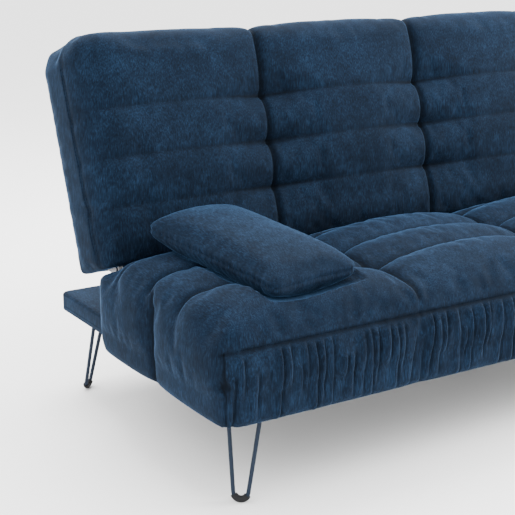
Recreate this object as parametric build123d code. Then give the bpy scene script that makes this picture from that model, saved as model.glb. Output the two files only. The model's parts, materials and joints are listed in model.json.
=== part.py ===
"""Click-clack sofa bed: a fixed padded seat on a low frame with hairpin legs, a back
that reclines flat behind it, and one loose lumbar pillow.

Row frame: millimetres, +Z up, origin on the floor at the middle of the footprint,
-Y is the front. Back parts are drawn in their own upright frame, whose origin is the
hinge pin, with u up the back and v towards the front, and are then leaned into place.
"""

import os
from math import cos, radians, sin, sqrt

from build123d import *

# ---- overall sizes
WIDTH = 1880
HALF_WIDTH = WIDTH / 2
SEAT_FRONT = -427
SEAT_REAR_TOP = 74
SEAT_REAR_LOW = 129
SEAT_BOTTOM = 186
SEAT_TOP = 412
SEAT_SHOULDER_TOP = 374
SEAT_SHOULDER_LOW = 356

# ---- base slab under the seat and behind it
BASE_HALF_WIDTH = 917
BASE_FRONT = -395
BASE_REAR = 425
BASE_BOTTOM = 200
BASE_TOP = 244
BASE_CORNER_RADIUS = 20
FABRIC = 3
DUST_SHEET = 1
BASE_RAIL = 60
FIT_GAP = 0.3
BASE_CROSS_X = (-440, 0, 440)
CORNER_BLOCK = 90

# ---- hinge line and the back's own measures
PIVOT_Y = 137
PIVOT_Z = 368
LEAN = 20
BACK_HALF_WIDTH = 936
BACK_TOP = 530
BACK_FRONT_LOW = 60
BACK_FRONT_HIGH = 80
BACK_SHOULDER = 440
BACK_REAR = -120
BACK_WALL = 28
BACK_FRAME_FRONT = -86
BACK_FRAME_REAR = -116
BACK_FOAM_REAR = -78
BACK_RAIL = 30
BACK_CROSS_X = (-300, 300)

# ---- seat inside
CAVITY_HALF_WIDTH = 905
FOAM_HALF_WIDTH = 885
SEAT_RAIL_TOP = 290
SEAT_RAIL = 40
SEAT_RAIL_REAR = 86
SEAT_SIDE_RAIL = 32
SEAT_SIDE_RAIL_OUTER = 892
SEAT_FOAM_BOTTOM = 299
SEAT_FOAM_TOP = 364
SEAT_FOAM_REAR = 53
SEAT_CROSS_X = (-300, 300)
SEAT_BOLT_X = SEAT_SIDE_RAIL_OUTER - SEAT_SIDE_RAIL / 2
SEAT_BOLT_ROWS = (-300, -20)

# ---- hairpin legs
FOOT_X = 878
FOOT_FRONT_Y = -365
FOOT_REAR_Y = 369
LEG_SPLAY = 28
ROD_RADIUS = 4.4
BEND_RADIUS = 16
ROD_HALF_ANGLE = 6.4
PAD_RADIUS = 7.2
PAD_SINK = 0.8
PAD_HALF_ANGLE = 62
LEG_PLATE = 100
LEG_PLATE_THICK = 3
PLATE_CORNER = 10
LEG_SCREW_SPACING = 70
SCREW_RADIUS = 2.5
SCREW_HEAD_RADIUS = 5
SCREW_HEAD = 2.5
SCREW_LENGTH = 25

# ---- centre leg
CENTRE_SCREW_SPACING = 44
CENTRE_PLATE = 64
CENTRE_POST_RADIUS = 13
CENTRE_GLIDE_RADIUS = 16
CENTRE_GLIDE = 14

# ---- hinge plates, one set at each end
PLATE_INNER = 892
PLATE_THICK = 4
SIDE_GAP = 0.4
HUB_RADIUS = 20
PIN_RADIUS = 6
PIN_CLEARANCE = 0.05
PIN_HEAD_RADIUS = 9
PIN_HEAD = 2.5
BOLT_RADIUS = 4
BOLT_HEAD_RADIUS = 6.5
BOLT_HEAD = 3.6
PAWL_PIN_Y = 101
PAWL_PIN_Z = 344
PAWL_PIN_RADIUS = 3
PAWL_HUB_RADIUS = 6.5
PAWL_NOSE_RADIUS = 2.5
PAWL_NOSE_ANGLE = 235
PAWL_TOOTH_GAP = 0.6
NOTCH_RADIUS = 3
NOTCH_STOPS = (0, 35, 70)
SLOT_INNER = 888
SLOT_OUTER = 906

# ---- springs
WIRE_RADIUS = 1.8
SPRING_HALF_WIDTH = 22
SPRING_BEND = 12
SPRING_LEAD = 16
SPRING_PITCH = 44
SEAT_SPRINGS = 8
BACK_SPRINGS = 7
CLIP_WIDTH = 16
CLIP_HEIGHT = 7
CLIP_LENGTH = 20

# ---- loose pillow
PILLOW_LENGTH = 452
PILLOW_WIDTH = 248
PILLOW_THICK = 96
PILLOW_X = -722
PILLOW_Y = -152
PILLOW_TURN = 9
PILLOW_EDGE = 44

nodes = {}


def block(x0, x1, y0, y1, z0, z1):
    """A box between two corners."""
    size = Box(x1 - x0, y1 - y0, z1 - z0)
    return Pos((x0 + x1) / 2, (y0 + y1) / 2, (z0 + z1) / 2) * size


def back_block(x0, x1, u0, u1, v0, v1):
    """A box in the back's own frame, where the front is -Y."""
    return block(x0, x1, -v1, -v0, u0, u1)


def lean(shape):
    """Takes a shape from the back's own frame to its place at rest."""
    return Pos(0, PIVOT_Y, PIVOT_Z) * Rot(-LEAN, 0, 0) * shape


def rod_x(y, z, radius, x0, x1):
    """A round bar along X."""
    bar = Rot(0, 90, 0) * Cylinder(radius, x1 - x0)
    return Pos((x0 + x1) / 2, y, z) * bar


def rod_z(x, y, radius, z0, z1):
    """A round bar along Z."""
    return Pos(x, y, (z0 + z1) / 2) * Cylinder(radius, z1 - z0)


def plate_yz(points, x0, x1):
    """A flat plate whose outline lies in the Y-Z plane."""
    outline = make_face(Polyline([(0, y, z) for y, z in points], close=True))
    return Pos(x0, 0, 0) * extrude(outline, amount=x1 - x0, dir=(1, 0, 0))


def group(parts):
    return Compound(children=list(parts))


def add(name, shape):
    nodes[name] = shape


def add_pair(name, right_shape):
    """Adds a part at the +X end and its mirror image at the -X end."""
    add(name + "_right", right_shape)
    add(name + "_left", mirror(right_shape, about=Plane.YZ))


# ---- base slab


def base_rails():
    inner_x = BASE_HALF_WIDTH - FABRIC - FIT_GAP
    front = BASE_FRONT + FABRIC + FIT_GAP
    rear = BASE_REAR - FABRIC - FIT_GAP
    low = BASE_BOTTOM + DUST_SHEET
    high = BASE_TOP - FABRIC - FIT_GAP
    corner = BASE_CORNER_RADIUS - FABRIC
    add("base_front_rail", block(-inner_x, inner_x, front, front + BASE_RAIL, low, high))
    add("base_rear_rail", block(-inner_x, inner_x, rear - BASE_RAIL, rear, low, high))
    for name, outer_y in (("base_front_rail", front), ("base_rear_rail", rear)):
        uprights = nodes[name].edges().filter_by(Axis.Z)
        outer_corners = [edge for edge in uprights if abs(edge.center().Y - outer_y) < 1]
        nodes[name] = fillet(outer_corners, corner)
    side = block(inner_x - BASE_RAIL, inner_x, front + BASE_RAIL, rear - BASE_RAIL, low, high)
    for y in SEAT_BOLT_ROWS:
        side -= rod_z(SEAT_BOLT_X, y, BOLT_RADIUS, low, high)
    add_pair("base_side_rail", side)
    cross = [
        block(x - BASE_RAIL / 2, x + BASE_RAIL / 2, front + BASE_RAIL, rear - BASE_RAIL, low, high)
        for x in BASE_CROSS_X
    ]
    add("base_cross_rails", group(cross))
    inner_rows = (front + BASE_RAIL, rear - BASE_RAIL - CORNER_BLOCK)
    x0 = inner_x - BASE_RAIL - CORNER_BLOCK
    blocks = [block(x0, x0 + CORNER_BLOCK, y, y + CORNER_BLOCK, low, high) for y in inner_rows]
    blocks += [mirror(corner_block, about=Plane.YZ) for corner_block in blocks]
    add("base_corner_blocks", group(blocks))


def base_cover():
    outer = block(-BASE_HALF_WIDTH, BASE_HALF_WIDTH, BASE_FRONT, BASE_REAR, BASE_BOTTOM, BASE_TOP)
    outer = fillet(outer.edges().filter_by(Axis.Z), BASE_CORNER_RADIUS)
    x = BASE_HALF_WIDTH - FABRIC
    inner = block(-x, x, BASE_FRONT + FABRIC, BASE_REAR - FABRIC, BASE_BOTTOM, BASE_TOP - FABRIC)
    inner = fillet(inner.edges().filter_by(Axis.Z), BASE_CORNER_RADIUS - FABRIC)
    cover = outer - inner
    for x_bolt in (-SEAT_BOLT_X, SEAT_BOLT_X):
        for y in SEAT_BOLT_ROWS:
            cover -= rod_z(x_bolt, y, BOLT_RADIUS, BASE_TOP - 2 * FABRIC, BASE_TOP + 1)
    add("base_cover", cover)


def base_dust_cover():
    inset = FABRIC + FIT_GAP
    x = BASE_HALF_WIDTH - inset
    high = BASE_BOTTOM + DUST_SHEET
    sheet = block(-x, x, BASE_FRONT + inset, BASE_REAR - inset, BASE_BOTTOM, high)
    sheet = fillet(sheet.edges().filter_by(Axis.Z), BASE_CORNER_RADIUS - FABRIC)
    for x_leg, y_leg in leg_tops():
        for x_screw, y_screw in screw_places(x_leg, y_leg, LEG_SCREW_SPACING):
            sheet -= rod_z(x_screw, y_screw, SCREW_RADIUS, BASE_BOTTOM - 1, BASE_BOTTOM + 2)
    for x_screw, y_screw in screw_places(0, 0, CENTRE_SCREW_SPACING):
        sheet -= rod_z(x_screw, y_screw, SCREW_RADIUS, BASE_BOTTOM - 1, BASE_BOTTOM + 2)
    add("base_dust_cover", sheet)


# ---- legs


def leg_feet():
    """Foot point and place name of each hairpin leg."""
    return {
        "front_left": (-FOOT_X, FOOT_FRONT_Y),
        "front_right": (FOOT_X, FOOT_FRONT_Y),
        "rear_left": (-FOOT_X, FOOT_REAR_Y),
        "rear_right": (FOOT_X, FOOT_REAR_Y),
    }


def leg_top(foot):
    """Centre of the leg's plate, in from the foot along the corner's diagonal."""
    return tuple(at - LEG_SPLAY if at > 0 else at + LEG_SPLAY for at in foot)


def leg_tops():
    return [leg_top(foot) for foot in leg_feet().values()]


def screw_places(x, y, spacing):
    half = spacing / 2
    return [(x + sx * half, y + sy * half) for sx in (-1, 1) for sy in (-1, 1)]


def hairpin_leg(name, foot):
    top = leg_top(foot)
    plate_low = BASE_BOTTOM - LEG_PLATE_THICK
    bottom = Vector(foot[0], foot[1], PAD_RADIUS - PAD_SINK)
    rise = (Vector(top[0], top[1], plate_low) - bottom).normalized()
    across = Vector(-rise.Y, rise.X, 0).normalized()
    half = radians(ROD_HALF_ANGLE)
    corner = bottom + rise * (BEND_RADIUS - BEND_RADIUS / sin(half))
    reach = (plate_low + 2 * ROD_RADIUS - corner.Z) / (cos(half) * rise.Z)
    ends = [corner + (rise * cos(half) + across * (s * sin(half))) * reach for s in (-1, 1)]
    path = FilletPolyline(ends[0], corner, ends[1], radius=BEND_RADIUS)
    rod = sweep(Plane(origin=path @ 0, z_dir=path % 0) * Circle(ROD_RADIUS), path=path)
    rod -= rod_z(top[0], top[1], LEG_PLATE, plate_low, plate_low + LEG_PLATE)
    add("leg_rod_" + name, rod)

    turn = radians(PAD_HALF_ANGLE)
    centre = bottom + rise * BEND_RADIUS
    tips = [centre + (across * (s * sin(turn)) - rise * cos(turn)) * BEND_RADIUS for s in (-1, 1)]
    bend = ThreePointArc(tips[0], bottom, tips[1])
    section = Plane(origin=bend @ 0, z_dir=bend % 0)
    sleeve = sweep(section * Circle(PAD_RADIUS), path=bend)
    sleeve -= sweep(section * Circle(ROD_RADIUS + PIN_CLEARANCE), path=bend)
    sleeve -= rod_z(foot[0], foot[1], LEG_PLATE, -PAD_RADIUS, 0)
    add("leg_foot_" + name, sleeve)

    outline = RectangleRounded(LEG_PLATE, LEG_PLATE, PLATE_CORNER)
    plate = Pos(top[0], top[1], plate_low) * extrude(outline, LEG_PLATE_THICK)
    for x, y in screw_places(top[0], top[1], LEG_SCREW_SPACING):
        plate -= rod_z(x, y, SCREW_RADIUS, plate_low - 1, BASE_BOTTOM + 1)
    add("leg_plate_" + name, plate)


def screw(x, y, under):
    """A pan-head wood screw driven upwards; under is the face its head sits on."""
    head = rod_z(x, y, SCREW_HEAD_RADIUS, under - SCREW_HEAD, under)
    head = chamfer(head.edges().sort_by(Axis.Z)[0], 1)
    return head + rod_z(x, y, SCREW_RADIUS, under, under + SCREW_LENGTH)


def leg_screws():
    under = BASE_BOTTOM - LEG_PLATE_THICK
    screws = [screw(x, y, under) for top in leg_tops() for x, y in screw_places(*top, LEG_SCREW_SPACING)]
    screws += [screw(x, y, under) for x, y in screw_places(0, 0, CENTRE_SCREW_SPACING)]
    for name in ("base_front_rail", "base_rear_rail", "base_side_rail_left", "base_side_rail_right"):
        for cutter in screws:
            nodes[name] -= cutter
    for name in ("base_cross_rails", "base_corner_blocks"):
        nodes[name] = group([drill(solid, screws) for solid in nodes[name].solids()])
    add("leg_screws", group(screws))


def drill(solid, cutters):
    for cutter in cutters:
        solid -= cutter
    return solid.solid()


def centre_leg():
    plate_low = BASE_BOTTOM - LEG_PLATE_THICK
    outline = RectangleRounded(CENTRE_PLATE, CENTRE_PLATE, PLATE_CORNER)
    plate = Pos(0, 0, plate_low) * extrude(outline, LEG_PLATE_THICK)
    for x, y in screw_places(0, 0, CENTRE_SCREW_SPACING):
        plate -= rod_z(x, y, SCREW_RADIUS, plate_low - 1, BASE_BOTTOM + 1)
    add("centre_leg_plate", plate)
    add("centre_leg_post", rod_z(0, 0, CENTRE_POST_RADIUS, CENTRE_GLIDE, plate_low))
    glide = rod_z(0, 0, CENTRE_GLIDE_RADIUS, 0, CENTRE_GLIDE)
    add("centre_leg_glide", fillet(glide.edges().sort_by(Axis.Z)[0], 2))


# ---- seat


def seat_profile():
    points = [
        (SEAT_FRONT, SEAT_BOTTOM),
        (SEAT_FRONT, SEAT_TOP),
        (SEAT_REAR_TOP, SEAT_TOP),
        (SEAT_REAR_TOP, SEAT_SHOULDER_TOP),
        (SEAT_REAR_LOW, SEAT_SHOULDER_LOW),
        (SEAT_REAR_LOW, BASE_BOTTOM),
        (SEAT_REAR_LOW - 14, SEAT_BOTTOM),
    ]
    return plate_yz(points, -HALF_WIDTH, HALF_WIDTH)


def seat_cover():
    cover = seat_profile()
    ends = cover.edges().filter_by(Axis.Z).filter_by(lambda e: e.center().Y < SEAT_FRONT + 1)
    cover = fillet(ends, 34)
    top = cover.edges().filter_by(lambda e: e.center().Z > SEAT_TOP - 0.5)
    rear_top = top.filter_by(lambda e: e.center().Y > SEAT_REAR_TOP - 1)
    rim = [e for e in top if e not in rear_top]
    cover = fillet(rim, 30)
    bottom = cover.edges().filter_by(lambda e: e.center().Z < SEAT_BOTTOM + 0.5 and e.center().Y < 100)
    cover = fillet(bottom, 8)
    x = BASE_HALF_WIDTH + 4
    cover -= block(-x, x, BASE_FRONT - 4, SEAT_REAR_LOW + 50, SEAT_BOTTOM - 50, BASE_TOP + 2)
    x = CAVITY_HALF_WIDTH
    frame_top = SEAT_FOAM_BOTTOM - 1
    cover -= block(-x, x, BASE_FRONT, SEAT_RAIL_REAR + 2, BASE_TOP + 1, frame_top)
    cover -= block(-x, x, BASE_FRONT, SEAT_FOAM_REAR + 2, frame_top - 1, SEAT_FOAM_TOP + 1)
    for x0, x1 in ((-SLOT_OUTER, -SLOT_INNER), (SLOT_INNER, SLOT_OUTER)):
        cover -= block(x0, x1, SEAT_RAIL_REAR - 14, SEAT_REAR_LOW + 20, BASE_TOP + 1, SEAT_TOP - 22)
    add("seat_cover", cover)


def seat_frame():
    front = BASE_FRONT + 2
    low, high = BASE_TOP, SEAT_RAIL_TOP
    inner = SEAT_SIDE_RAIL_OUTER - SEAT_SIDE_RAIL
    x = SEAT_SIDE_RAIL_OUTER
    add("seat_frame_front_rail", block(-x, x, front, front + SEAT_RAIL, low, high))
    add("seat_frame_rear_rail", block(-inner, inner, SEAT_RAIL_REAR - SEAT_RAIL, SEAT_RAIL_REAR, low, high))
    side = block(inner, x, front + SEAT_RAIL, SEAT_RAIL_REAR, low, high)
    for y in SEAT_BOLT_ROWS:
        side -= rod_z(SEAT_BOLT_X, y, BOLT_RADIUS, low - 1, high + 1)
    for y, z in plate_bolts():
        side -= rod_x(y, z, BOLT_RADIUS, inner - 1, x + 1)
    add_pair("seat_frame_side_rail", side)
    y0, y1 = front + SEAT_RAIL, SEAT_RAIL_REAR - SEAT_RAIL
    half, cross_top = SEAT_RAIL / 2, high - 2 * CLIP_HEIGHT
    cross = [block(mid - half, mid + half, y0, y1, low, cross_top) for mid in SEAT_CROSS_X]
    add("seat_frame_cross_rails", group(cross))
    bolts = []
    for x_bolt in (-SEAT_BOLT_X, SEAT_BOLT_X):
        for y in SEAT_BOLT_ROWS:
            shank = rod_z(x_bolt, y, BOLT_RADIUS, BASE_BOTTOM + 2 * DUST_SHEET, high)
            bolts.append(shank + rod_z(x_bolt, y, BOLT_HEAD_RADIUS, high, high + BOLT_HEAD))
    add("seat_frame_bolts", group(bolts))
    x = FOAM_HALF_WIDTH
    foam = block(-x, x, BASE_FRONT + 2, SEAT_FOAM_REAR, SEAT_FOAM_BOTTOM, SEAT_FOAM_TOP)
    add("seat_foam", foam)


# ---- springs


def sinuous_spring(length):
    """A zigzag wire along +Y from the origin, with a straight lead at each end."""
    turns = round((length - 2 * SPRING_LEAD) / SPRING_PITCH)
    turns += turns % 2
    pitch = (length - 2 * SPRING_LEAD) / turns
    points = [(0, 0), (0, SPRING_LEAD)]
    for i in range(turns):
        side = SPRING_HALF_WIDTH if i % 2 == 0 else -SPRING_HALF_WIDTH
        points.append((side, SPRING_LEAD + (i + 0.5) * pitch))
    points += [(0, length - SPRING_LEAD), (0, length)]
    path = FilletPolyline(*points, radius=SPRING_BEND)
    return sweep(Plane(origin=path @ 0, z_dir=path % 0) * Circle(WIRE_RADIUS), path=path)


def spring_places(count, half_width):
    step = 2 * half_width / count
    return [-half_width + (i + 0.5) * step for i in range(count)]


def seat_springs():
    front = BASE_FRONT + 2 + SEAT_RAIL - 8
    rear = SEAT_RAIL_REAR - SEAT_RAIL + 8
    wire_z = SEAT_RAIL_TOP + CLIP_HEIGHT / 2
    spring = sinuous_spring(rear - front)
    places = spring_places(SEAT_SPRINGS, SEAT_SIDE_RAIL_OUTER - SEAT_SIDE_RAIL)
    add("seat_springs", group([Pos(x, front, wire_z) * spring for x in places]))
    half = CLIP_WIDTH / 2
    z0, z1 = SEAT_RAIL_TOP, SEAT_RAIL_TOP + CLIP_HEIGHT
    clips = []
    for x in places:
        clips.append(block(x - half, x + half, front - CLIP_LENGTH, front, z0, z1))
        clips.append(block(x - half, x + half, rear, rear + CLIP_LENGTH, z0, z1))
    add("seat_spring_clips", group(clips))


def back_springs():
    low = BACK_WALL + 2 + BACK_RAIL - 8
    high = BACK_TOP - BACK_WALL - 2 - BACK_RAIL + 8
    wire_v = BACK_FRAME_FRONT + CLIP_HEIGHT / 2
    spring = Rot(90, 0, 0) * sinuous_spring(high - low)
    places = spring_places(BACK_SPRINGS, PLATE_INNER - BACK_RAIL)
    add("back_springs", lean(group([Pos(x, -wire_v, low) * spring for x in places])))
    half = CLIP_WIDTH / 2
    clips = []
    for x in places:
        v0, v1 = BACK_FRAME_FRONT, BACK_FRAME_FRONT + CLIP_HEIGHT
        clips.append(back_block(x - half, x + half, low - CLIP_LENGTH, low, v0, v1))
        clips.append(back_block(x - half, x + half, high, high + CLIP_LENGTH, v0, v1))
    add("back_spring_clips", lean(group(clips)))


# ---- back


def back_cover():
    points = [
        (-BACK_FRONT_LOW, 0),
        (-BACK_FRONT_HIGH, BACK_SHOULDER),
        (-BACK_FRONT_HIGH, BACK_TOP),
        (-BACK_REAR, BACK_TOP),
        (-BACK_REAR, 0),
    ]
    cover = plate_yz(points, -BACK_HALF_WIDTH, BACK_HALF_WIDTH)
    long_edges = cover.edges().filter_by(Axis.X)
    top_edges = long_edges.filter_by(lambda e: e.center().Z > BACK_TOP - 1)
    top_front = top_edges.filter_by(lambda e: e.center().Y < 0)
    cover = fillet(top_front, 55)
    corners = cover.edges().filter_by(Axis.Y).filter_by(lambda e: e.center().Z > BACK_TOP - 1)
    cover = fillet(corners, 45)
    rear_rim = cover.edges().filter_by(lambda e: e.center().Y > -BACK_REAR - 1)
    rear_rim = rear_rim.filter_by(lambda e: e.center().Z > BACK_TOP / 2)
    cover = fillet(rear_rim, 24)
    foot = cover.edges().filter_by(Axis.X).filter_by(lambda e: e.center().Z < 1 and e.center().Y < 0)
    cover = fillet(foot, 24)
    x = CAVITY_HALF_WIDTH
    inside = back_block(-x, x, BACK_WALL, BACK_TOP - BACK_WALL, BACK_REAR - 1, BACK_WALL + 2)
    cover -= inside
    for x0, x1 in ((-SLOT_OUTER, -SLOT_INNER), (SLOT_INNER, SLOT_OUTER)):
        cover -= back_block(x0, x1, -5, BACK_WALL + 1, BACK_FRAME_REAR - 1, HUB_RADIUS + 8)
    add("back_cover", lean(cover))


def back_frame():
    v0, v1 = BACK_FRAME_REAR, BACK_FRAME_FRONT
    low = BACK_WALL + 2
    high = BACK_TOP - BACK_WALL - 2
    stile_outer = PLATE_INNER + PLATE_THICK + SIDE_GAP
    stile_inner = stile_outer - BACK_RAIL
    top = back_block(-stile_outer, stile_outer, high - BACK_RAIL, high, v0, v1)
    add("back_frame_top_rail", lean(top))
    bottom = back_block(-stile_inner, stile_inner, low, low + BACK_RAIL, v0, v1)
    add("back_frame_bottom_rail", lean(bottom))
    stile = back_block(stile_inner, stile_outer, low, high - BACK_RAIL, v0, v1)
    for u, v in arm_bolts():
        stile -= rod_x(-v, u, BOLT_RADIUS, stile_inner - 1, stile_outer + 1)
    add_pair("back_frame_stile", lean(stile))
    half, u0, u1 = BACK_RAIL / 2, low + BACK_RAIL, high - BACK_RAIL
    cross = [back_block(mid - half, mid + half, u0, u1, v0, v1) for mid in BACK_CROSS_X]
    add("back_frame_cross_stiles", lean(group(cross)))
    x = FOAM_HALF_WIDTH
    foam = back_block(-x, x, low, high, BACK_FOAM_REAR, BACK_WALL)
    add("back_foam", lean(foam))
    x = CAVITY_HALF_WIDTH - FIT_GAP
    panel = back_block(-x, x, low - 1, high + 1, BACK_REAR, BACK_REAR + FABRIC)
    add("back_rear_panel", lean(panel))


# ---- hinges


def plate_bolts():
    """Y and Z of the bolts that hold the fixed plate to the seat frame's side rail."""
    return ((20, 267), (62, 267))


def arm_bolts():
    """u and v of the bolts that hold the swinging arm to the back frame's stile."""
    middle = (BACK_FRAME_FRONT + BACK_FRAME_REAR) / 2
    return ((48, middle), (94, middle))


def hinge_base_plate():
    x0, x1 = PLATE_INNER, PLATE_INNER + PLATE_THICK
    foot = [(76, 284), (2, 284), (2, 252), (80, 252)]
    outline = foot + [(124, 330), (156, 360), (137, 380), (118, 380), (90, 352)]
    plate = plate_yz(outline, x0, x1)
    plate += rod_x(PIVOT_Y, PIVOT_Z, HUB_RADIUS, x0, x1)
    plate -= rod_x(PIVOT_Y, PIVOT_Z, PIN_RADIUS, x0 - 1, x1 + 1)
    plate -= rod_x(PAWL_PIN_Y, PAWL_PIN_Z, PAWL_PIN_RADIUS, x0 - 1, x1 + 1)
    for y, z in plate_bolts():
        plate -= rod_x(y, z, BOLT_RADIUS, x0 - 1, x1 + 1)
    add_pair("hinge_base_plate", plate)


def arm_span():
    x0 = PLATE_INNER + PLATE_THICK + SIDE_GAP
    return x0, x0 + PLATE_THICK


def hinge_back_arm():
    x0, x1 = arm_span()
    v_rear, v_front = BACK_FRAME_REAR + 2, BACK_FRAME_FRONT - 2
    outline = [(-16, 12), (-v_front, 34), (-v_front, 112), (-v_rear, 112), (-v_rear, 32), (16, -8)]
    arm = plate_yz(outline, x0, x1)
    arm += rod_x(0, 0, HUB_RADIUS, x0, x1)
    arm -= rod_x(0, 0, PIN_RADIUS + PIN_CLEARANCE, x0 - 1, x1 + 1)
    for u, v in arm_bolts():
        arm -= rod_x(-v, u, BOLT_RADIUS, x0 - 1, x1 + 1)
    arm = lean(arm)
    for stop in NOTCH_STOPS:
        angle = radians(PAWL_NOSE_ANGLE + stop)
        y = PIVOT_Y + (HUB_RADIUS + 1) * cos(angle)
        z = PIVOT_Z + (HUB_RADIUS + 1) * sin(angle)
        arm -= rod_x(y, z, NOTCH_RADIUS, x0 - 1, x1 + 1)
    add_pair("hinge_back_arm", arm)


def hinge_pivot():
    x0, x1 = PLATE_INNER, arm_span()[1] + 2 * FIT_GAP
    pin = rod_x(PIVOT_Y, PIVOT_Z, PIN_RADIUS, x0 - PIN_HEAD, x1 + PIN_HEAD)
    pin += rod_x(PIVOT_Y, PIVOT_Z, PIN_HEAD_RADIUS, x0 - PIN_HEAD, x0)
    pin += rod_x(PIVOT_Y, PIVOT_Z, PIN_HEAD_RADIUS, x1, x1 + PIN_HEAD)
    add_pair("hinge_pivot", pin)


def pawl():
    x0, x1 = arm_span()
    angle = radians(PAWL_NOSE_ANGLE)
    reach = HUB_RADIUS + PAWL_TOOTH_GAP + PAWL_NOSE_RADIUS
    nose_y = PIVOT_Y + reach * cos(angle)
    nose_z = PIVOT_Z + reach * sin(angle)
    dy, dz = nose_y - PAWL_PIN_Y, nose_z - PAWL_PIN_Z
    length = sqrt(dy * dy + dz * dz)
    side = (-dz / length, dy / length)
    wide, narrow = PAWL_HUB_RADIUS - 0.5, PAWL_NOSE_RADIUS
    outline = [
        (PAWL_PIN_Y + side[0] * wide, PAWL_PIN_Z + side[1] * wide),
        (nose_y + side[0] * narrow, nose_z + side[1] * narrow),
        (nose_y - side[0] * narrow, nose_z - side[1] * narrow),
        (PAWL_PIN_Y - side[0] * wide, PAWL_PIN_Z - side[1] * wide),
    ]
    lever = plate_yz(outline, x0, x1)
    lever += rod_x(PAWL_PIN_Y, PAWL_PIN_Z, PAWL_HUB_RADIUS, x0, x1)
    lever += rod_x(nose_y, nose_z, PAWL_NOSE_RADIUS, x0, x1)
    lever -= rod_x(PAWL_PIN_Y, PAWL_PIN_Z, PAWL_PIN_RADIUS + PIN_CLEARANCE, x0 - 1, x1 + 1)
    add_pair("hinge_pawl", lever)
    pin = rod_x(PAWL_PIN_Y, PAWL_PIN_Z, PAWL_PIN_RADIUS, PLATE_INNER, x1 + FIT_GAP)
    pin += rod_x(PAWL_PIN_Y, PAWL_PIN_Z, PAWL_PIN_RADIUS + 2, x1 + FIT_GAP, x1 + FIT_GAP + 1.5)
    add_pair("hinge_pawl_pin", pin)


def hinge_bolts():
    fixed = []
    outer = PLATE_INNER + PLATE_THICK
    inner = SEAT_SIDE_RAIL_OUTER - SEAT_SIDE_RAIL
    for y, z in plate_bolts():
        bolt = rod_x(y, z, BOLT_RADIUS, inner, outer)
        fixed.append(bolt + rod_x(y, z, BOLT_HEAD_RADIUS, outer, outer + BOLT_HEAD))
    add("hinge_plate_bolts", group(fixed + [mirror(b, about=Plane.YZ) for b in fixed]))
    swinging = []
    stile_inner, arm_outer = arm_span()[0] - BACK_RAIL, arm_span()[1]
    for u, v in arm_bolts():
        bolt = rod_x(-v, u, BOLT_RADIUS, stile_inner, arm_outer)
        bolt += rod_x(-v, u, BOLT_HEAD_RADIUS, arm_outer, arm_outer + BOLT_HEAD)
        swinging.append(lean(bolt))
    add("hinge_arm_bolts", group(swinging + [mirror(b, about=Plane.YZ) for b in swinging]))


# ---- pillow


def pillow():
    cushion = Box(PILLOW_WIDTH, PILLOW_LENGTH, PILLOW_THICK)
    cushion = fillet(cushion.edges(), PILLOW_EDGE)
    z = SEAT_TOP + FIT_GAP + PILLOW_THICK / 2
    add("pillow", Pos(PILLOW_X, PILLOW_Y, z) * Rot(0, 0, PILLOW_TURN) * cushion)


base_rails()
base_cover()
base_dust_cover()
for leg_name, leg_foot in leg_feet().items():
    hairpin_leg(leg_name, leg_foot)
leg_screws()
centre_leg()
seat_cover()
seat_frame()
seat_springs()
back_cover()
back_frame()
back_springs()
hinge_base_plate()
hinge_back_arm()
hinge_pivot()
pawl()
hinge_bolts()
pillow()

os.makedirs("parts", exist_ok=True)
for node, shape in nodes.items():
    export_step(shape, "parts/" + node + ".step")
    print(node, len(shape.solids()), "solids", round(shape.volume / 1000), "cm3")
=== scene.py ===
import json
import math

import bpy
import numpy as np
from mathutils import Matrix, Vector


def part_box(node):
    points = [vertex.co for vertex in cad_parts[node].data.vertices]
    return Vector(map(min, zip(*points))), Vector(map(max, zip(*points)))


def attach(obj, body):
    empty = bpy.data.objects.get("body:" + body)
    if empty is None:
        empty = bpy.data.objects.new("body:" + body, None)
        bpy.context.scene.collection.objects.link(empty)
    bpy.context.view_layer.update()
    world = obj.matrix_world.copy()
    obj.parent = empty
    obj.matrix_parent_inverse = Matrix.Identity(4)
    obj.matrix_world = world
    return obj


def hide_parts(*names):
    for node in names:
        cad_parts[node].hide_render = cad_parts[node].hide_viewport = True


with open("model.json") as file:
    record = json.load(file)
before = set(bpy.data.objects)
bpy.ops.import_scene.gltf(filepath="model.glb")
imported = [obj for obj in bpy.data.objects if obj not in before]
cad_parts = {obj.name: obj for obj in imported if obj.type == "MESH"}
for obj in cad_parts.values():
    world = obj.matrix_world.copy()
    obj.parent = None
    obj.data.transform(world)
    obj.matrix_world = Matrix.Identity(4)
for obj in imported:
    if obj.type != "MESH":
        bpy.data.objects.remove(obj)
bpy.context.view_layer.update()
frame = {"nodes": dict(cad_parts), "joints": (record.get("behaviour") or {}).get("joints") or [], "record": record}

# %% [markdown]
# # A click-clack sofa bed
# The sofa bed has a quilted seat and back in navy chenille velvet, a covered base slab on
# hairpin legs, and one loose lumbar pillow. Its size, its hinge and its hard parts come
# from the CAD frame. This lesson makes what the CAD model keeps plain: the upholstery
# with its seams, gathers and stitches, and every finish.

# %% [markdown]
# Every measure is in metres. The main lines are worked out from the boxes of the CAD
# nodes and from the hinge joint, so the fabric follows the frame if the frame changes.
# The cover is divided into four equal panels along its length.

# %% Main lines
seat_low, seat_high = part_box("seat_cover")
base_low, base_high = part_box("base_cover")
pillow_low, pillow_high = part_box("pillow")
hinge = next(joint for joint in frame["joints"] if joint["name"] == "back_recline")
hinge_point = Vector(hinge["pos_m"])
half_length = seat_high.x
panel = half_length / 2
panel_joints = [-panel, 0.0, panel]
panel_edges = [-half_length - 0.07] + panel_joints + [half_length + 0.07]
back_lean = math.radians(20)
print("panel width", round(panel, 3), "hinge at", [round(v, 3) for v in hinge_point])

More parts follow.
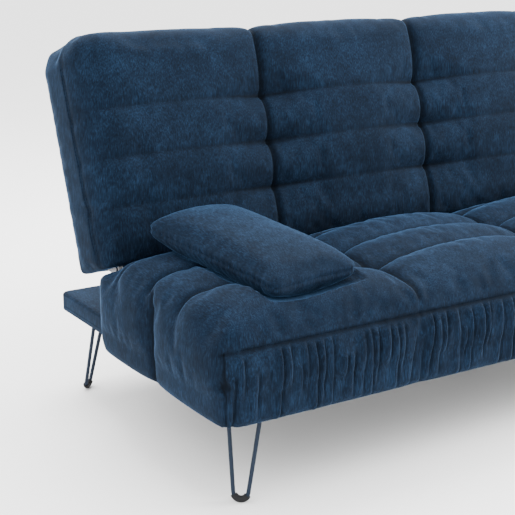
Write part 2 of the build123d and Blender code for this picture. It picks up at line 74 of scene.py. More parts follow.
# %% [markdown]
# ## Selection and mesh helpers
# An operator works on whatever is selected, so each step starts with nothing selected.
# On a dense cushion the points are read and written as one array, which is far quicker
# than a loop over the vertices.


# %% Selecting and points
def only(piece):
    """Makes a piece the one selected and active object."""
    bpy.ops.object.select_all(action="DESELECT")
    piece.select_set(True)
    bpy.context.view_layer.objects.active = piece


def read(piece, field):
    """Reads "co" or "normal" of every vertex as rows of x, y and z."""
    flat = np.empty(len(piece.data.vertices) * 3)
    piece.data.vertices.foreach_get(field, flat)
    return flat.reshape(-1, 3)


def write(piece, points):
    piece.data.vertices.foreach_set("co", points.ravel())
    piece.data.update()


# %% Blocks and modifiers
def block(name, low, high):
    """A cube primitive between two corners, with its place in its mesh."""
    bpy.ops.object.select_all(action="DESELECT")
    low, high = Vector(low), Vector(high)
    bpy.ops.mesh.primitive_cube_add(size=1, location=(low + high) / 2, scale=high - low)
    bpy.ops.object.transform_apply(location=True, rotation=True, scale=True)
    piece = bpy.context.object
    piece.name = name
    return piece


def finish_modifier(piece, modifier):
    only(piece)
    bpy.ops.object.modifier_apply(modifier=modifier.name)


def round_edges(piece, wanted, radius, segments=6):
    """Bevels the edges whose middle point and direction pass the test."""
    only(piece)
    bpy.ops.object.mode_set(mode="EDIT")
    bpy.ops.mesh.select_all(action="DESELECT")
    bpy.ops.mesh.select_mode(type="EDGE")
    bpy.ops.object.mode_set(mode="OBJECT")
    mesh = piece.data
    for edge in mesh.edges:
        start, end = [mesh.vertices[i].co for i in edge.vertices]
        edge.select = bool(wanted((start + end) / 2, end - start))
    bpy.ops.object.mode_set(mode="EDIT")
    bpy.ops.mesh.bevel(offset=radius, segments=segments, profile=0.5, affect="EDGES")
    bpy.ops.object.mode_set(mode="OBJECT")


def combine(piece, tool, operation):
    """Joins a tool to a piece, or cuts it out, with a Boolean modifier."""
    boolean = piece.modifiers.new("Boolean", "BOOLEAN")
    boolean.operation = operation
    boolean.solver = "EXACT"
    boolean.object = tool
    finish_modifier(piece, boolean)
    bpy.data.objects.remove(tool)


def cut_hinge_slots(piece, depths, heights):
    """Leaves room for the hinge arm and its plate near both ends of a piece."""
    inside, outside = 0.888, 0.907
    for near, far in ((-outside, -inside), (inside, outside)):
        slot = block("slot", (near, depths[0], heights[0]), (far, depths[1], heights[1]))
        combine(piece, slot, "DIFFERENCE")


def remesh(piece, voxel):
    """Gives a piece an even net of small faces."""
    modifier = piece.modifiers.new("Remesh", "REMESH")
    modifier.mode = "VOXEL"
    modifier.voxel_size = voxel
    modifier.use_smooth_shade = True
    finish_modifier(piece, modifier)


def subdivide(piece):
    modifier = piece.modifiers.new("Subdivision", "SUBSURF")
    modifier.levels = 1
    modifier.render_levels = 1
    finish_modifier(piece, modifier)


# %% [markdown]
# ## Profiles of padded fabric
# A sewn puff rises steeply beside its seam and is nearly level in the middle: `dome`
# gives that profile between two seams. `groove` is the narrow valley along one seam.
# Two grooves that cross make a tuft, the deep pocket where the filling is pulled in.


# %% Profiles
def step(value, start, end):
    """0 before start, 1 after end, and a soft rise between them."""
    t = np.clip((value - start) / (end - start), 0, 1)
    return t * t * (3 - 2 * t)


def dome(value, seams, power=2.4, shape=0.5):
    """Height from 0 at each seam to 1 half way between two seams."""
    seams = np.asarray(seams)
    slot = np.clip(np.searchsorted(seams, value) - 1, 0, len(seams) - 2)
    left, right = seams[slot], seams[slot + 1]
    t = np.clip((value - left) / (right - left), 0, 1)
    return np.clip(1 - np.abs(2 * t - 1) ** power, 0, 1) ** shape


def nearest(value, lines):
    """Distance to the nearest of several lines."""
    return np.min([np.abs(value - line) for line in lines], axis=0)


def groove(distance, width):
    return np.exp(-((distance / width) ** 2))


# %% [markdown]
# ## Gathers
# The front border is cut longer than the seam above it and gathered, so it falls in
# upright folds. Each fold has its own place, height, width and slant. A seeded generator
# draws them, so that they look uneven and still come out the same on every run.


# %% Gathers
def gathers(along, down, start, end, seed):
    """Height of upright folds and of the creases beside them; down is 0 at the seam, 1 at the hem."""
    chance = np.random.RandomState(seed)
    height, crease = np.zeros_like(along), np.zeros_like(along)
    at = start
    while at < end:
        width = chance.uniform(0.0050, 0.010)
        tall = chance.uniform(0.40, 1.0)
        top = chance.choice([0.0, 0.0, 0.03, 0.25])
        foot = chance.uniform(0.5, 1.25)
        slant = chance.uniform(-0.014, 0.010)
        offset = along - at - slant * down ** 1.5
        side = np.where(offset > 0, 0.55, 1.35)
        reach = step(down, top, top + 0.10) * (1 - step(down, foot - 0.35, foot))
        height += tall * np.exp(-((offset / (width * side)) ** 2)) * reach
        crease += (0.4 + 0.6 * tall) * groove(offset - 1.1 * width, 0.0032) * reach
        at += chance.uniform(0.013, 0.034)
    return height, np.clip(crease, 0, 1)


# %% [markdown]
# ## Cloth
# Foam presses outwards on its cover, and the seams hold the cover down. The Cloth
# modifier does the same: pressure from inside, pinned points along the seams, and fabric
# cut a little large, so that it wrinkles where it is held. The move of each point is
# capped, because a real cover can't balloon off its foam.


# %% Cloth helper
def fill_out(piece, held, pressure, cap, slack=0.02, frames=16):
    """Lets a cover swell over its filling, then applies the result."""
    before = read(piece, "co")
    group = piece.vertex_groups.new(name="held")
    group.add([int(i) for i in np.flatnonzero(held)], 1.0, "ADD")
    cloth = piece.modifiers.new("Cloth", "CLOTH")
    settings = cloth.settings
    settings.quality = 5
    settings.mass = 0.35
    settings.tension_stiffness = 12
    settings.compression_stiffness = 6
    settings.shear_stiffness = 4
    settings.bending_stiffness = 0.25
    settings.use_pressure = True
    settings.uniform_pressure_force = pressure
    settings.shrink_min = -slack
    settings.vertex_group_mass = group.name
    settings.effector_weights.gravity = 0
    cloth.collision_settings.use_collision = False
    cloth.point_cache.frame_end = frames
    for moment in range(1, frames + 1):
        bpy.context.scene.frame_set(moment)
    finish_modifier(piece, cloth)
    bpy.context.scene.frame_set(1)
    piece.vertex_groups.clear()
    move = read(piece, "co") - before
    length = np.linalg.norm(move, axis=1, keepdims=True)
    write(piece, before + move * np.minimum(length, cap) / np.maximum(length, 1e-9))
    print(piece.name, "swelled by up to", round(float(length.max()) * 1000), "mm")


# %% [markdown]
# ## Stitches
# A seam shows as a row of short stitches in the bottom of its valley. Each row is a
# curve whose points are dropped on the finished cushion by ray casting. The curve's
# radius swells and pinches along its length, which gives the beads of a lockstitch.


# %% Stitch helper
def stitch(name, piece, rows, radius=0.0009):
    """Lays thread on a piece; a row is (list of starts, direction, list of sinks)."""
    curve = bpy.data.curves.new(name, "CURVE")
    curve.dimensions = "3D"
    curve.bevel_depth = radius
    curve.bevel_resolution = 0
    for starts, direction, sinks in rows:
        spots = []
        for start, sink in zip(starts, sinks):
            hit, spot, normal, _ = piece.ray_cast(Vector(start), Vector(direction))
            if hit:
                spots.append(spot - normal * sink)
        spline = curve.splines.new("POLY")
        spline.points.add(len(spots) - 1)
        for i, spot in enumerate(spots):
            spline.points[i].co = (*spot, 1)
            spline.points[i].radius = 0.3 if i % 3 == 2 else 1.0
    thread = bpy.data.objects.new(name, curve)
    bpy.context.scene.collection.objects.link(thread)
    only(thread)
    bpy.ops.object.convert(target="MESH")
    print(name, len(thread.data.polygons), "faces")
    return thread


def steps(start, end, pitch=0.0026):
    return np.linspace(start, end, max(2, round(abs(end - start) / pitch)))


def thread_row(starts, direction, sink=0.0004):
    """One row of thread that lies equally deep all along."""
    return starts, direction, [sink] * len(starts)


# %% [markdown]
# ## Pillow
# The lumbar pillow is a flat bag of fibre with soft ends. It lies on the seat's crown,
# so it tips forwards by a few degrees. The corners stand out and the sides draw in
# between them, because the cover is sewn from two flat pieces.


# %% Pillow shape
def pillow_loft(points):
    """Share of the half thickness at each point: full in the middle and thin at the seam."""
    rounded = dome(points[:, 0], [-0.129, 0.129], 2.0, 0.6) * dome(points[:, 1], [-0.236, 0.236], 2.8, 0.6)
    return 0.28 + 0.84 * rounded


# %% Pillow
pillow_middle = (pillow_low + pillow_high) / 2 + Vector((0, 0.002, -0.001))
pillow_half = Vector((0.122, 0.221, 0.042))
pillow_turn = Matrix.Rotation(math.radians(9), 4, "Z")
pillow_tip = math.radians(6)
pillow = block("lumbar_pillow", -pillow_half, pillow_half)
round_edges(pillow, lambda m, d: True, 0.034, 6)
remesh(pillow, 0.007)
points = read(pillow, "co")
x, y, z = points.T
across, along = np.abs(x / pillow_half.x), np.abs(y / pillow_half.y)
points[:, 2] = z * pillow_loft(points)
points[:, 0] *= 1 - 0.030 * (1 - along ** 2) + 0.02 * along ** 6
points[:, 1] *= 1 - 0.030 * (1 - across ** 2)
write(pillow, points)
fill_out(pillow, np.zeros(len(points), bool), pressure=3.0, cap=0.006, slack=0.0)
subdivide(pillow)
points, normals = read(pillow, "co"), read(pillow, "normal")
x, y, z = points.T
rim = groove(z, 0.006) * (1 - step(np.abs(normals[:, 2]), 0.3, 0.6))
pinch = np.sin(y * 330 + 2 * np.sin(x * 60)) * np.exp(-np.abs(z) / 0.012) * 0.0010
points -= normals * (0.0035 * rim + pinch)[:, None]
write(pillow, points)
pillow_place = Matrix.Translation(pillow_middle) @ pillow_turn @ Matrix.Rotation(pillow_tip, 4, "X")
print("pillow", len(points), "points")

# %% Pillow seam
pillow_rows = []
for side in (-1, 1):
    long_side = [(side * 0.3, y, 0) for y in steps(-0.205, 0.205)]
    short_side = [(x, side * 0.4, 0) for x in steps(-0.100, 0.100)]
    pillow_rows.append(thread_row(long_side, (-side, 0, 0), 0.0006))
    pillow_rows.append(thread_row(short_side, (0, -side, 0), 0.0006))
pillow_seam = stitch("pillow_seam", pillow, pillow_rows)
for piece in (pillow, pillow_seam):
    piece.data.transform(pillow_place)
    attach(piece, "pillow")
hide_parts("pillow")

# %% [markdown]
# ## Seat
# The seat cover is one quilted cap over the foam and the seat frame, hollow below for
# the base slab. Each panel is crowned. Three rows are sewn across it, and the middle
# row is the deepest and carries on down both ends.

# %% Seat lines
seat_rows = [seat_low.y + reach for reach in (0.181, 0.318, 0.456)]
deep_row = seat_rows[1]
end_seam = seat_low.y + 0.297
border_seam = seat_high.z - 0.068
valley = seat_high.z - 0.026
seat_side = half_length - 0.003
seat_front = seat_low.y + 0.006
seat_rear = 0.112
hem = seat_low.z - 0.004

# %% [markdown]
# The block is a rounded cube with a lower shoulder behind it, which reaches under the
# back. The hollow for the base slab and the slots for the hinges are cut out of it, and
# a voxel remesh turns the result into an even net that can swell.

# %% Seat block
seat = block("seat_upholstery", (-seat_side, seat_front, hem), (seat_side, seat_rear, valley))
round_edges(seat, lambda m, d: m.y < seat_front + 0.001 and abs(d.z) > 0.1, 0.028, 6)
round_edges(seat, lambda m, d: m.z > valley - 0.001, 0.046, 8)
round_edges(seat, lambda m, d: m.z < hem + 0.001 and m.y < seat_rear - 0.001, 0.022, 5)
shoulder_side, shoulder_top = seat_side - 0.006, 0.369
shoulder_rear = seat_high.y + 0.004
shoulder_low = (-shoulder_side, 0.03, hem + 0.022)
shoulder = block("shoulder", shoulder_low, (shoulder_side, shoulder_rear, shoulder_top))
round_edges(shoulder, lambda m, d: m.y > 0.1 and m.z > 0.3, 0.012, 3)
combine(seat, shoulder, "UNION")
inner = base_high.x + 0.004
hollow = block("hollow", (-inner, base_low.y - 0.004, 0.1), (inner, 0.2, base_high.z + 0.003))
combine(seat, hollow, "DIFFERENCE")
cut_hinge_slots(seat, (0.072, 0.2), (0.2, 0.350))
remesh(seat, 0.010)
print("seat", len(seat.data.vertices), "points")


# %% Which side of the seat a point is on
def seat_sides(points, normals):
    """Share of the top, the front border and the end in each point's surface."""
    top = step(normals[:, 2], 0.2, 0.7) * step(points[:, 2], 0.335, 0.350)
    front = step(-normals[:, 1], 0.3, 0.8) * (points[:, 1] < seat_front + 0.06)
    end = step(np.abs(normals[:, 0]), 0.4, 0.9) * (np.abs(points[:, 0]) > seat_side - 0.06)
    return top, front * (1 - top), end * (1 - top)


# %% Seat swelling
points, normals = read(seat, "co"), read(seat, "normal")
x, y, z = points.T
top, front, end = seat_sides(points, normals)
crown = dome(x, panel_edges, 2.0, 0.75)
row_edges = [seat_front - 0.02] + seat_rows + [0.135]
rise = 0.037 * crown * step(y, seat_front, seat_front + 0.13) * (1 - 0.8 * step(y, 0.02, 0.085))
rise += 0.012 * dome(y, row_edges, 2.2) * (1 - 0.7 * step(y, 0.03, 0.085))
rise -= 0.009 * crown * step(y, 0.0, 0.06)
at_joint, at_row = nearest(x, panel_joints), nearest(y, seat_rows)
rise -= 0.008 * groove(at_joint, 0.035) * groove(at_row, 0.022)
border_puff = 0.008 * dome(z, [hem - 0.01, border_seam], 2.4) * dome(x, panel_edges, 6)
end_puff = 0.008 + 0.013 * dome(y, [seat_front - 0.015, end_seam, 0.15], 2.4, 0.6)
end_puff *= dome(z, [hem - 0.03, 0.43], 2.6)
height = rise * top + border_puff * front + end_puff * end
write(seat, points + normals * height[:, None])

# %% Seat cloth
points = read(seat, "co")
x, y, z = points.T
held = (z < base_high.z + 0.006) | (y > seat_rear - 0.006) | (z < hem + 0.012)
held |= (top > 0.5) & ((nearest(x, panel_joints) < 0.006) | (nearest(y, seat_rows) < 0.006))
held |= (front > 0.4) & (np.abs(z - border_seam) < 0.006)
held |= (end > 0.4) & (np.abs(y - end_seam) < 0.006)
fill_out(seat, held, pressure=3.0, cap=0.009, slack=0.022)
subdivide(seat)

# %% [markdown]
# The dent under the pillow, the seams and the gathers come after the cloth step, because
# the coarse net of that step would wash them out. The dent comes first, so that the
# seams still run through it.

# %% Dent under the pillow
points = read(seat, "co")
local = (points - np.array(pillow_middle)) @ np.array(pillow_turn.to_3x3())
outside = np.hypot(np.maximum(np.abs(local[:, 0]) - 0.122, 0), np.maximum(np.abs(local[:, 1]) - 0.226, 0))
under = pillow_middle.z + local[:, 1] * math.tan(pillow_tip) - pillow_half.z * pillow_loft(local) - 0.005
under += 1.2 * outside
soft = 0.004
blend = np.clip(0.5 + 0.5 * (under - points[:, 2]) / soft, 0, 1)
lowered = under * (1 - blend) + points[:, 2] * blend - soft * blend * (1 - blend)
lowered = np.where((points[:, 2] > 0.33) & (outside < 0.09), lowered, points[:, 2])
print("dent up to", round(float((points[:, 2] - lowered).max()) * 1000, 1), "mm")
points[:, 2] = lowered
write(seat, points)

# %% [markdown]
# The gathers are narrower than the seat's net, so the border's faces are halved first.


# %% Finer net on the border
def refine(piece, wanted):
    """Halves the faces whose middle passes the test."""
    only(piece)
    bpy.ops.object.mode_set(mode="EDIT")
    bpy.ops.mesh.select_mode(type="FACE")
    bpy.ops.mesh.select_all(action="DESELECT")
    bpy.ops.object.mode_set(mode="OBJECT")
    middles = np.empty(len(piece.data.polygons) * 3)
    piece.data.polygons.foreach_get("center", middles)
    piece.data.polygons.foreach_set("select", wanted(*middles.reshape(-1, 3).T))
    bpy.ops.object.mode_set(mode="EDIT")
    bpy.ops.mesh.subdivide(number_cuts=1)
    bpy.ops.object.mode_set(mode="OBJECT")


refine(seat, lambda x, y, z: (y < seat_front + 0.012) & (z < border_seam + 0.006))
print("seat", len(seat.data.polygons), "faces")

# %% Seat seams
points, normals = read(seat, "co"), read(seat, "normal")
x, y, z = points.T
top, front, end = seat_sides(points, normals)
at_joint, at_row = nearest(x, panel_joints), nearest(y, seat_rows)
depth = 0.0055 * groove(at_joint, 0.0055) * np.maximum(top, front * 0.3 * (z > 0.3))
depth += 0.0050 * groove(at_row, 0.0050) * top
depth += 0.0060 * groove(np.abs(y - deep_row), 0.008) * top
depth += 0.0060 * groove(np.abs(y - end_seam), 0.008) * end
depth += 0.0045 * groove(np.abs(z - border_seam), 0.0045) * front
corner = groove(np.abs(normals[:, 0]) + normals[:, 1], 0.22) * (np.abs(x) > seat_side - 0.04)
corner *= (y < seat_front + 0.04) * (1 - top) * (z < border_seam)
depth += 0.0035 * corner

# %% Gathers in the border
below = np.clip((border_seam - z) / (border_seam - hem), 0, 1)
folds, fold_creases = gathers(x, below, -half_length + 0.01, half_length - 0.01, seed=7)
fold_depth = 0.0080 * (1 - 0.25 * below)
fold_height = fold_depth * (folds - 0.4) - 0.0035 * fold_creases
write(seat, points + normals * (fold_height * front - depth)[:, None])
print("folds up to", round(float((fold_height * front).max()) * 1000, 1), "mm")

# %% Painted shade in the seat's creases
# Painted shade: darkens the colour in the joint and row seams, the border seam, the front corners, the end seam
# and the gathers' creases.
seat_painted_shade = (0.8 * groove(at_joint, 0.008) + 0.8 * groove(at_row, 0.005)) * top
seat_painted_shade += 0.7 * groove(np.abs(z - border_seam), 0.0045) * front + 0.9 * corner
seat_painted_shade += 0.8 * groove(np.abs(y - end_seam), 0.009) * end
seat_painted_shade += 0.75 * front * (z < border_seam) * fold_creases
seat_painted_shade = np.clip(seat_painted_shade, 0, 1)

# %% Seat stitches
down = (0, 0, -1)
seat_rows_of_thread = []
for row in seat_rows:
    seat_rows_of_thread.append(thread_row([(x, row, 0.6) for x in steps(-0.915, 0.915)], down))
for joint in panel_joints:
    along_joint = steps(seat_front + 0.012, 0.075)
    seat_rows_of_thread.append(thread_row([(joint, y, 0.6) for y in along_joint], down))
border_row = [(x, -0.6, border_seam) for x in steps(-0.915, 0.915)]
seat_rows_of_thread.append(thread_row(border_row, (0, 1, 0)))
for side in (-1, 1):
    end_row = [(side * 1.2, end_seam, z) for z in steps(0.345, 0.205)]
    seat_rows_of_thread.append(thread_row(end_row, (-side, 0, 0)))
seat_stitches = stitch("seat_stitches", seat, seat_rows_of_thread)

# %% Seat handed to the base body
for piece in (seat, seat_stitches):
    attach(piece, "base")
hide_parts("seat_cover")

# %% [markdown]
# ## Back
# The back is drawn upright in its own frame, with the hinge line as its origin, and
# leaned at the end. It is thicker towards the top. Three cross rows pull the cover into
# deep tufts where they meet the panel joints, and fade towards the panels' middles, so
# each joint runs in scallops.

# %% Back lines
back_side = half_length - 0.004
back_rows = [0.134, 0.243, 0.354]
back_top = 0.516
back_front = 0.030
back_rear = -0.121
boxing_seam = 0.004

# %% [markdown]
# The back is a rounded cube too. Its front and top swell, its ends stay boxed, and its
# rear face steps in behind the stapled lining, which is a CAD node.

# %% Back block
back = block("back_upholstery", (-back_side, -back_front, 0.004), (back_side, -back_rear, back_top))
round_edges(back, lambda m, d: m.z > back_top - 0.001 and abs(d.y) > 0.1, 0.038, 8)
round_edges(back, lambda m, d: m.y < -back_front + 0.001 and m.z > 0.005, 0.026, 6)
round_edges(back, lambda m, d: m.y > -back_rear - 0.001 and m.z > 0.005, 0.014, 4)
round_edges(back, lambda m, d: m.z < 0.005 and abs(d.x) > 0.3 and m.y > 0, 0.028, 6)
round_edges(back, lambda m, d: m.z < 0.005 and abs(d.x) > 0.3 and m.y < 0, 0.014, 4)
cut_hinge_slots(back, (-0.028, 0.117), (-0.01, 0.032))
remesh(back, 0.010)
print("back", len(back.data.vertices), "points")


# %% Which side of the back a point is on
def back_sides(points, normals):
    """Share of the front and top, and of the end, in each point's surface."""
    front = step(np.maximum(-normals[:, 1], 0.85 * normals[:, 2]), 0.2, 0.7)
    front = front * np.maximum(points[:, 1] < 0.03, step(normals[:, 2], 0.5, 0.8))
    end = step(np.abs(normals[:, 0]), 0.4, 0.9) * (np.abs(points[:, 0]) > back_side - 0.06)
    return front, end * (1 - front)


# %% Back swelling
points, normals = read(back, "co"), read(back, "normal")
x, y, z = points.T
front, end = back_sides(points, normals)
row_edges = [-0.01] + back_rows + [0.575]
wedge = 0.022 * step(z, 0.02, 0.42)
crown = dome(x, panel_edges, 2.2, 0.7)
scallop = dome(z, row_edges, 2.0, 0.6)
near_joint = groove(nearest(x, panel_joints), 0.085)
rise = 0.017 * crown + 0.026 * (1 - near_joint * (1 - scallop)) - 0.003 * (1 - near_joint) * (1 - scallop)
rise = wedge + rise * (0.48 + 0.52 * step(z, 0.05, 0.22))
rise *= step(z, -0.01, 0.07)
upward = step(normals[:, 2], 0.3, 0.9)
taper_from = 0.83
past = np.clip(np.abs(x) - taper_from, 0, 1) / (back_side + 0.003 - taper_from)
rise *= np.sqrt(np.clip(1 - past ** 2.6, 0, 1))
rise = rise * (1 - upward) + upward * (0.006 + 0.014 * crown)
end_puff = 0.005 * dome(y, [-0.03, -back_rear + 0.03], 2.4)
forward = normals * np.array((0.15, 1, 1))
forward /= np.maximum(np.linalg.norm(forward, axis=1, keepdims=True), 1e-6)
write(back, points + forward * (rise * front)[:, None] + normals * (end_puff * end)[:, None])

# %% Back cloth
points = read(back, "co")
x, y, z = points.T
held = (y > -back_rear - 0.012) | (z < 0.010) | ((z < 0.05) & (np.abs(np.abs(x) - 0.897) < 0.02))
held |= (front > 0.4) & (nearest(x, panel_joints) < 0.006)
ends_too = panel_joints + [-back_side, back_side]
held |= (front > 0.4) & (nearest(z, back_rows) < 0.006) & (nearest(x, ends_too) < 0.12)
fill_out(back, held, pressure=2.5, cap=0.006, slack=0.014)
subdivide(back)

# %% Back seams
points, normals = read(back, "co"), read(back, "normal")
x, y, z = points.T
front, end = back_sides(points, normals)
near_joint = groove(nearest(x, panel_joints), 0.12)
depth = 0.0070 * groove(nearest(x, panel_joints), 0.006) * front
row_depth = (0.0012 + 0.0034 * near_joint) * (np.abs(x) < 0.905)
depth += row_depth * groove(nearest(z, back_rows), 0.0048) * front
depth += 0.0028 * groove(np.abs(y + boxing_seam), 0.0045) * np.maximum(end, front * (np.abs(x) > 0.9))

# %% Painted shade in the back's creases
# Painted shade: darkens the colour along the panel joints, along the cross rows (most near the joints) and along
# the boxing seam.
back_painted_shade = 0.8 * groove(nearest(x, panel_joints), 0.007) * front
back_painted_shade += (0.30 + 0.55 * near_joint) * groove(nearest(z, back_rows), 0.0042) * front
back_painted_shade += 0.5 * groove(np.abs(y + boxing_seam), 0.005) * (np.abs(x) > 0.88)
back_painted_shade = np.clip(back_painted_shade, 0, 1)

# %% Rear face behind the lining
points -= normals * depth[:, None]
lining_side, lining_foot, lining_top, lining_recess = 0.897, 0.035, back_top - 0.033, 0.008
sunk = (np.abs(x) < lining_side) & (y > -back_rear - 0.010) & (z > lining_foot) & (z < lining_top)
points[sunk, 1] -= lining_recess
write(back, points)

# %% Back stitches
back_rows_of_thread = []
for row in back_rows:
    spans = steps(-0.905, 0.905)
    fade = step(nearest(spans, ends_too), 0.10, 0.19) * 0.0022
    sinks = 0.0007 + fade
    back_rows_of_thread.append(([(x, -0.4, row) for x in spans], (0, 1, 0), sinks))
for joint in panel_joints:
    joint_row = [(joint, -0.4, z) for z in steps(0.03, back_top - 0.03)]
    back_rows_of_thread.append(thread_row(joint_row, (0, 1, 0)))
for side in (-1, 1):
    for offset, sink in ((0.0, 0.0004), (0.007, 0.0002)):
        boxing_row = [(side * 1.2, -boxing_seam + offset, z) for z in steps(0.04, back_top - 0.05)]
        back_rows_of_thread.append(thread_row(boxing_row, (-side, 0, 0), sink))
back_stitches = stitch("back_stitches", back, back_rows_of_thread)

# %% Back leaned and handed to the backrest body
for piece in (back, back_stitches):
    piece.data.transform(Matrix.Translation(hinge_point) @ Matrix.Rotation(-back_lean, 4, "X"))
    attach(piece, "backrest")
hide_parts("back_cover")

# %% [markdown]
# ## Base slab cover
# The slab under the seat is boarded and wrapped tight in the same velvet. A cube with
# rounded corners and edges is enough, with a stitched seam round it.

# %% Base cover
slab = block("base_slipcover", base_low, base_high)
round_edges(slab, lambda m, d: abs(d.z) > 0.02 and abs(m.x) > 0.5, 0.020, 6)
round_edges(slab, lambda m, d: m.z > base_high.z - 0.001, 0.007, 4)
round_edges(slab, lambda m, d: m.z < base_low.z + 0.001, 0.003, 2)
only(slab)
bpy.ops.object.shade_smooth_by_angle(angle=math.radians(40))
slab_rows = []
slab_seam = base_low.z + 0.012
for y, way in ((base_high.y + 0.2, -1), (base_low.y - 0.2, 1)):
    long_row = [(x, y, slab_seam) for x in steps(base_low.x + 0.02, base_high.x - 0.02)]
    slab_rows.append(thread_row(long_row, (0, way, 0), 0.0))
for side in (-1, 1):
    end_row = [(side * 1.2, y, slab_seam) for y in steps(base_low.y + 0.02, base_high.y - 0.02)]
    slab_rows.append(thread_row(end_row, (-side, 0, 0), 0.0))
slab_stitches = stitch("base_stitches", slab, slab_rows, 0.0006)
for piece in (slab, slab_stitches):
    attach(piece, "base")
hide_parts("base_cover")

# %% [markdown]
# ## Velvet
# Chenille velvet has short streaks that follow the pile, broader clouds where the pile
# has been brushed one way or the other, and a bright rim where a surface turns away.
# The streaks run up and down on upright faces and from front to back on the seat's top.
# An attribute tells the material which way a face lies, so the pattern stays put when
# the back is folded flat. A second attribute marks the creases, where the colour is
# darkened as painted shade.


# %% A new finish
def new_finish(name):
    material = bpy.data.materials.new(name)
    material.use_nodes = True
    nodes = material.node_tree.nodes
    nodes.clear()
    shader = nodes.new("ShaderNodeBsdfPrincipled")
    output = nodes.new("ShaderNodeOutputMaterial")
    material.node_tree.links.new(shader.outputs["BSDF"], output.inputs["Surface"])
    return material, shader


def noise(tree, vector, scale, detail, roughness, stretch=(1, 1, 1)):
    """A noise texture on stretched coordinates; gives its output socket."""
    mapping = tree.nodes.new("ShaderNodeMapping")
    mapping.inputs["Scale"].default_value = stretch
    tree.links.new(vector, mapping.inputs["Vector"])
    texture = tree.nodes.new("ShaderNodeTexNoise")
    texture.inputs["Scale"].default_value = scale
    texture.inputs["Detail"].default_value = detail
    texture.inputs["Roughness"].default_value = roughness
    tree.links.new(mapping.outputs["Vector"], texture.inputs["Vector"])
    return texture.outputs["Fac"]


def mixed(tree, first, second, factor):
    """Blends two values; factor is a number or a socket."""
    mix = tree.nodes.new("ShaderNodeMix")
    mix.data_type = "FLOAT"
    tree.links.new(first, mix.inputs["A"])
    tree.links.new(second, mix.inputs["B"])
    if isinstance(factor, float):
        mix.inputs["Factor"].default_value = factor
    else:
        tree.links.new(factor, mix.inputs["Factor"])
    return mix.outputs["Result"]


def ramp(tree, value, stops):
    node = tree.nodes.new("ShaderNodeValToRGB")
    elements = node.color_ramp.elements
    for element, (position, colour) in zip(elements, (stops[0], stops[-1])):
        element.position = position
        element.color = (*colour, 1)
    for position, colour in stops[1:-1]:
        elements.new(position).color = (*colour, 1)
    tree.links.new(value, node.inputs["Fac"])
    return node.outputs["Color"]


def bumped(tree, shader, value, strength, distance):
    bump = tree.nodes.new("ShaderNodeBump")
    bump.inputs["Strength"].default_value = strength
    bump.inputs["Distance"].default_value = distance
    tree.links.new(value, bump.inputs["Height"])
    tree.links.new(bump.outputs["Normal"], shader.inputs["Normal"])


# %% Velvet
velvet, shader = new_finish("navy_chenille_velvet")
tree = velvet.node_tree
where = tree.nodes.new("ShaderNodeTexCoord").outputs["Object"]
lie = tree.nodes.new("ShaderNodeAttribute")
lie.attribute_name = "lie"
upright = noise(tree, where, 480, 4, 0.7, (1, 1, 0.10))
lying = noise(tree, where, 480, 4, 0.7, (1, 0.14, 1))
streaks = mixed(tree, upright, lying, lie.outputs["Fac"])
clouds = mixed(tree, noise(tree, where, 30, 6, 0.75), noise(tree, where, 7, 3, 0.6), 0.4)
pile = mixed(tree, streaks, clouds, 0.40)
colour = ramp(tree, pile, [
    (0.37, (0.0010, 0.0028, 0.0064)),
    (0.50, (0.0028, 0.0074, 0.0165)),
    (0.65, (0.0084, 0.0220, 0.0480)),
])
# Painted shade: the crease attribute blends the velvet colour towards near black in the seams and folds.
crease = tree.nodes.new("ShaderNodeAttribute")
crease.attribute_name = "crease"
painted_crease_shade = tree.nodes.new("ShaderNodeMix")
painted_crease_shade.data_type = "RGBA"
tree.links.new(crease.outputs["Fac"], painted_crease_shade.inputs["Factor"])
tree.links.new(colour, painted_crease_shade.inputs["A"])
painted_crease_shade.inputs["B"].default_value = (0.0008, 0.0018, 0.0036, 1)
tree.links.new(painted_crease_shade.outputs["Result"], shader.inputs["Base Color"])
rim = ramp(tree, pile, [(0.37, (0.027, 0.078, 0.175)), (0.635, (0.175, 0.43, 0.87))])
tree.links.new(rim, shader.inputs["Sheen Tint"])
shader.inputs["Sheen Weight"].default_value = 0.30
shader.inputs["Sheen Roughness"].default_value = 0.28
shader.inputs["Roughness"].default_value = 0.85
shader.inputs["Specular IOR Level"].default_value = 0.06
bumped(tree, shader, pile, 0.35, 0.0012)


# %% Which way the pile lies
def lay_pile(piece, share, painted_shade=None):
    """Stores the lie of the pile, and the painted shade that darkens its creases."""
    if painted_shade is None:
        painted_shade = np.zeros(len(share))
    for name, values in (("lie", share), ("crease", painted_shade)):
        attribute = piece.data.attributes.new(name, "FLOAT", "POINT")
        attribute.data.foreach_set("value", np.asarray(values, dtype=np.float32))
    piece.data.materials.clear()
    piece.data.materials.append(velvet)


lay_pile(seat, seat_sides(read(seat, "co"), read(seat, "normal"))[0], seat_painted_shade)
lay_pile(back, np.zeros(len(back.data.vertices)), back_painted_shade)
lay_pile(pillow, step(read(pillow, "normal")[:, 2], 0.2, 0.7))
lay_pile(slab, step(read(slab, "normal")[:, 2], 0.2, 0.7))
for piece in (seat, back, pillow):
    only(piece)
    bpy.ops.object.shade_smooth()

# %% [markdown]
# ## Hard finishes
# The wood, the foam, the steel and the plastic are each a noise pattern stretched along
# the grain, with their own roughness and bump. They show below the slab, behind the
# back, and wherever the sofa bed is taken apart.


# %% Plain finishes
def finish(name, dark, light, roughness, metallic=0.0, scale=90, stretch=(1, 1, 1), bump=0.1, gloss=0.5):
    material, shader = new_finish(name)
    tree = material.node_tree
    where = tree.nodes.new("ShaderNodeTexCoord").outputs["Object"]
    grain = noise(tree, where, scale, 5, 0.6, stretch)
    tree.links.new(ramp(tree, grain, [(0.35, dark), (0.65, light)]), shader.inputs["Base Color"])
    shader.inputs["Roughness"].default_value = roughness
    shader.inputs["Metallic"].default_value = metallic
    shader.inputs["Specular IOR Level"].default_value = gloss
    bumped(tree, shader, grain, bump, 0.0008)
    return material


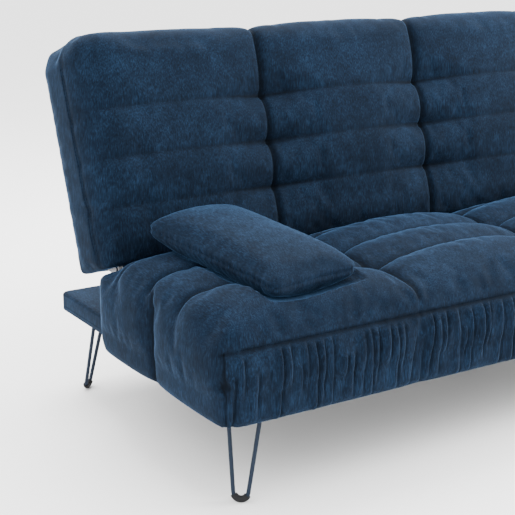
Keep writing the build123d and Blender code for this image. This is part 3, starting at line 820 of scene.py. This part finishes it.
even, woody = (1, 1, 1), (0.12, 1, 1)
pine = ((0.34, 0.20, 0.09), (0.52, 0.34, 0.18))
foam = ((0.60, 0.53, 0.32), (0.80, 0.74, 0.52))
black = ((0.004, 0.005, 0.007), (0.012, 0.013, 0.016))
navy_paint = ((0.003, 0.008, 0.018), (0.006, 0.014, 0.030))
zinc = ((0.13, 0.135, 0.15), (0.22, 0.22, 0.23))
wire = ((0.14, 0.14, 0.15), (0.24, 0.24, 0.26))
nylon = ((0.72, 0.72, 0.68), (0.82, 0.82, 0.78))
rubber = ((0.005, 0.005, 0.006), (0.010, 0.010, 0.011))
finishes = {
    "frame_wood": finish("sawn_pine", *pine, 0.7, 0, 60, woody),
    "foam": finish("open_cell_foam", *foam, 0.95, 0, 400, even, 0.4, 0.1),
    "lining": finish("black_lining", *black, 0.9, 0, 700, even, 0.3, 0.1),
    "black_steel": finish("powder_coat", *navy_paint, 0.6, 0, 900, even, 0.1, 0.2),
    "zinc_steel": finish("zinc_plate", *zinc, 0.5, 1.0, 120),
    "spring_wire": finish("spring_wire", *wire, 0.4, 1.0, 200),
    "clip_plastic": finish("nylon_clip", *nylon, 0.5, 0, 150),
    "foot_rubber": finish("black_rubber", *rubber, 0.7, 0, 500, even, 0.1, 0.2),
    "velvet": velvet,
}
thread = finish("navy_thread", (0.001, 0.003, 0.006), (0.002, 0.006, 0.014), 1.0, 0, 900, even, 0.1, 0.02)
for piece in (seat_stitches, back_stitches, pillow_seam, slab_stitches):
    piece.data.materials.clear()
    piece.data.materials.append(thread)
slot_of = {entry["node"]: entry["material_slot"] for entry in frame["record"]["subparts"]}
for node, piece in frame["nodes"].items():
    piece.data.materials.clear()
    piece.data.materials.append(finishes[slot_of[node]])
print(len(frame["nodes"]), "CAD nodes finished")

# %% [markdown]
# ## Studio
# A pale floor that runs past the picture's edges, even light from all round, and two
# soft boxes: one from the left, which draws the ends and the crowns, and one from above.

# %% Floor
bpy.ops.object.select_all(action="DESELECT")
bpy.ops.mesh.primitive_plane_add(size=60, location=(0, 0, -0.0005))
floor = bpy.context.object
floor.name = "studio_floor"
bpy.ops.object.transform_apply(location=True)
paper, paper_shader = new_finish("studio_paper")
paper_shader.inputs["Base Color"].default_value = (0.93, 0.93, 0.93, 1)
paper_shader.inputs["Roughness"].default_value = 1.0
paper_shader.inputs["Specular IOR Level"].default_value = 0.0
floor.data.materials.append(paper)


# %% Lights
def softbox(name, spot, target, size, power):
    light = bpy.data.lights.new(name, "AREA")
    light.shape = "SQUARE"
    light.size = size
    light.energy = power
    lamp = bpy.data.objects.new(name, light)
    bpy.context.scene.collection.objects.link(lamp)
    lamp.location = spot
    lamp.rotation_euler = (Vector(target) - Vector(spot)).to_track_quat("-Z", "Y").to_euler()


softbox("key_left", (-3.2, -0.4, 2.6), (-0.6, 0.0, 0.4), 1.8, 30)
softbox("key_right", (3.0, -1.2, 2.2), (0.0, 0.0, 0.4), 1.8, 270)
softbox("top_rear", (-0.2, 1.2, 3.2), (-0.2, 0.0, 0.4), 2.4, 200)
world = bpy.data.worlds.new("studio")
world.use_nodes = True
world.node_tree.nodes["Background"].inputs["Color"].default_value = (1, 1, 1, 1)
world.node_tree.nodes["Background"].inputs["Strength"].default_value = 3.0
bpy.context.scene.world = world

# %% Camera
camera_data = bpy.data.cameras.new("camera")
camera_data.lens = 86.55
camera = bpy.data.objects.new("camera", camera_data)
bpy.context.scene.collection.objects.link(camera)
camera.location = (-2.0587, -2.3098, 1.1511)
camera.rotation_euler = (math.radians(90 - 15.68), 0, math.radians(-32.13))
bpy.context.scene.camera = camera
